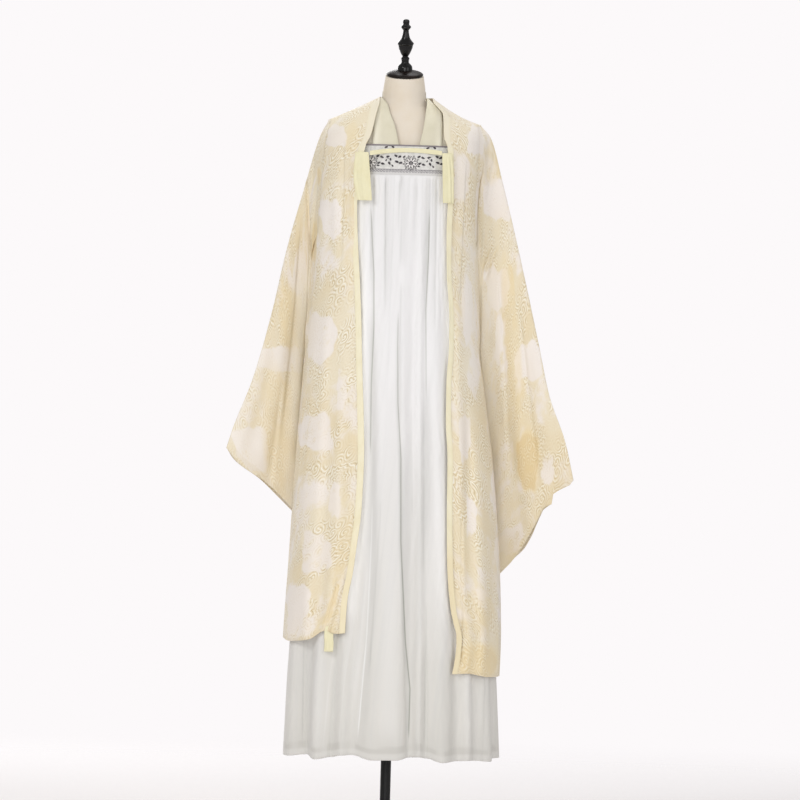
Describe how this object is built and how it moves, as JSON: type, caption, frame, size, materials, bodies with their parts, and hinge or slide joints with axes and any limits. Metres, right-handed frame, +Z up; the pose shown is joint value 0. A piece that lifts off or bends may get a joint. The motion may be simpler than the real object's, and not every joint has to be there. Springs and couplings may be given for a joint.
{
  "type": "hanfu robe set on dress form",
  "caption": "Open large-sleeve sheer robe over a chest-high pleated skirt and collared top, worn by a limbless dress form on a pole and round base.",
  "frame": {"origin": "middle of the underside of the round base, on the floor", "axes": "+Z up along the pole, -Y towards the front of the garment, +X to the right as seen from the front"},
  "size_m": [0.751, 0.38, 1.7291],
  "materials": {
    "robe_sheer": "sheer cream organza with fine gold line pattern",
    "robe_band": "pale yellow woven band",
    "skirt_chiffon": "white chiffon, soft pleats",
    "lace_band": "white and grey lace",
    "ribbon": "pale yellow satin ribbon",
    "inner_top": "thin white cloth",
    "inner_collar": "pale yellow-green band",
    "form_cover": "smooth beige jersey",
    "black_gloss": "gloss black turned finial",
    "cap_brown": "dark brown lacquer",
    "black_steel": "satin black paint"
  },
  "bodies": {
    "root": {"form_torso": "form_cover", "form_neck_cap": "cap_brown", "form_finial": "black_gloss", "stand_pole": "black_steel", "stand_base": "black_steel", "inner_body_left": "inner_top", "inner_body_right": "inner_top", "inner_collar_left": "inner_collar", "inner_collar_right": "inner_collar", "inner_collar_neck": "inner_collar", "skirt_band_front": "lace_band", "skirt_band_back": "lace_band", "skirt_front": "skirt_chiffon", "skirt_back": "skirt_chiffon", "robe_body_left": "robe_sheer", "robe_body_right": "robe_sheer", "robe_sleeve_left": "robe_sheer", "robe_sleeve_right": "robe_sheer", "robe_band_left": "robe_band", "robe_band_right": "robe_band", "robe_band_neck": "robe_band", "robe_tie_end_left": "ribbon", "chest_ribbon": "ribbon", "tie_tab_left": "ribbon", "tie_tab_right": "ribbon"}
  },
  "joints": []
}
